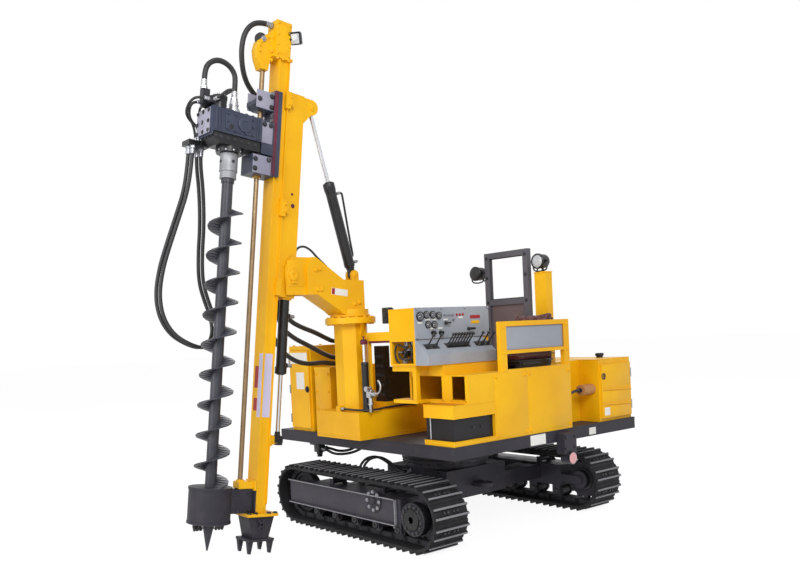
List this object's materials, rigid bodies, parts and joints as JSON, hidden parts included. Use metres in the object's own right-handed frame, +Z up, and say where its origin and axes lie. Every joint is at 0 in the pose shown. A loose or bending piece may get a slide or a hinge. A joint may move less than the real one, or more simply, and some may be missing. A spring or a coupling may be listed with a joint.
{
  "type": "anchor drilling rig",
  "caption": "Compact crawler drilling rig: slewing deck with housings, operator's console and boom post carrying a tilting mast, rotary head and auger.",
  "frame": {"origin": "on the ground, on the slewing axis of the upper structure", "axes": "+Z up, +X from the slewing axis toward the drilling mast, +Y toward the operator's side; the tracks lie along Y at rest"},
  "size_m": [3.4581, 2.1023, 3.7131],
  "materials": {
    "yellow_paint": "gloss",
    "charcoal_paint": "satin",
    "slate_paint": "satin",
    "black_paint": "gloss",
    "track_steel": "worn",
    "chrome": "polished",
    "guide_steel": "oiled",
    "engine_iron": "rough",
    "grey_panel": "satin",
    "black_plastic": "matte",
    "hose_rubber": "matte",
    "seat_vinyl": "grained",
    "copper_paint": "satin"
  },
  "bodies": {
    "undercarriage": {"track_left": "track_steel", "track_right": "track_steel", "track_frame": "charcoal_paint", "slew_ring": "charcoal_paint", "track_wheels": "charcoal_paint", "drive_sprockets": "charcoal_paint", "track_hoses": "hose_rubber"},
    "upper": {"deck": "charcoal_paint", "boom_post": "yellow_paint", "front_cabinet": "yellow_paint", "low_cabinet": "yellow_paint", "hydraulic_tank": "yellow_paint", "centre_cover": "yellow_paint", "engine_hood": "yellow_paint", "engine_block": "engine_iron", "rear_cabinet": "yellow_paint", "side_canister": "copper_paint", "side_cabinet": "yellow_paint", "hose_bay": "yellow_paint", "step_box": "yellow_paint", "recess_panel": "charcoal_paint", "console": "yellow_paint", "gauge_panel": "grey_panel", "deck_hoses": "hose_rubber", "lever_shelf": "grey_panel", "control_levers": "black_plastic", "operator_guard": "yellow_paint", "guard_panel": "grey_panel", "seat": "seat_vinyl", "operator_frame": "charcoal_paint", "intake_column": "yellow_paint", "work_lamps": "black_plastic", "valve_stack": "black_paint", "side_marker_lamp": "charcoal_paint"},
    "boom": {"boom_head": "yellow_paint", "boom_pins": "chrome", "boom_hoses": "hose_rubber"},
    "tilt_barrel": {"tilt_cylinder_barrel": "black_paint"},
    "tilt_rod": {"tilt_cylinder_rod": "chrome"},
    "cradle": {"mast_cradle": "yellow_paint", "mast_slide_barrel": "black_paint"},
    "mast": {"mast": "yellow_paint", "mast_slide_rod": "chrome", "mast_foot": "charcoal_paint", "mast_hose": "hose_rubber", "guide_bar": "guide_steel", "auger_guide": "slate_paint"},
    "carriage": {"feed_carriage": "slate_paint", "drill_head_gearbox": "slate_paint", "drill_head_base": "black_paint", "drill_head_motors": "slate_paint", "head_arch_hose": "hose_rubber", "head_hose_a": "hose_rubber", "head_hose_b": "hose_rubber"},
    "auger": {"auger": "slate_paint"},
    "front_door": {"front_cabinet_door": "yellow_paint"},
    "hood_door": {"hood_side_door": "yellow_paint"},
    "radiator_door": {"hood_rear_door": "yellow_paint"},
    "rear_door": {"rear_cabinet_door": "yellow_paint"}
  },
  "joints": [
    {"name": "slew", "type": "hinge", "parent": "undercarriage", "child": "upper", "pos_m": [0, 0, 0.544], "axis": [0, 0, 1], "continuous": true},
    {"name": "boom_swing", "type": "hinge", "parent": "upper", "child": "boom", "pos_m": [0.87, -0.06, 1.622], "axis": [0, 0, 1], "range_deg": [-45, 45]},
    {"name": "mast_tilt", "type": "hinge", "parent": "boom", "child": "cradle", "pos_m": [1.42, -0.06, 1.93], "axis": [0, 1, 0], "range_deg": [-30, 12]},
    {"name": "tilt_barrel_swing", "type": "hinge", "parent": "boom", "child": "tilt_barrel", "pos_m": [0.833, -0.06, 1.942], "axis": [0, 1, 0], "range_deg": [-29, 12]},
    {"name": "tilt_rod_slide", "type": "slide", "parent": "tilt_barrel", "child": "tilt_rod", "axis": [0.2619, 0, 0.9651], "range_m": [-0.302, 0.122]},
    {"name": "mast_slide", "type": "slide", "parent": "cradle", "child": "mast", "axis": [-0.1219, 0, 0.9925], "range_m": [-0.08, 0.36]},
    {"name": "head_feed", "type": "slide", "parent": "mast", "child": "carriage", "axis": [-0.1219, 0, 0.9925], "range_m": [-1.9, 0.15]},
    {"name": "auger_spin", "type": "hinge", "parent": "carriage", "child": "auger", "pos_m": [1.93513, -0.06, 1.99325], "axis": [-0.1219, 0, 0.9925], "continuous": true},
    {"name": "front_door_hinge", "type": "hinge", "parent": "upper", "child": "front_door", "pos_m": [0.9023, -0.854, 1], "axis": [0, 0, -1], "range_deg": [0, 110]},
    {"name": "hood_door_hinge", "type": "hinge", "parent": "upper", "child": "hood_door", "pos_m": [-0.401, -1.0033, 1], "axis": [0, 0, 1], "range_deg": [0, 110]},
    {"name": "radiator_door_hinge", "type": "hinge", "parent": "upper", "child": "radiator_door", "pos_m": [-1.1363, -0.714, 1], "axis": [0, 0, 1], "range_deg": [0, 110]},
    {"name": "rear_door_hinge", "type": "hinge", "parent": "upper", "child": "rear_door", "pos_m": [-1.102, 1.0083, 1], "axis": [0, 0, 1], "range_deg": [0, 110]}
  ],
  "couplings": [
    {"joint": "tilt_barrel_swing", "follows": "mast_tilt", "ratio": 0.95},
    {"joint": "tilt_rod_slide", "follows": "mast_tilt", "m_per_rad": 0.57}
  ]
}
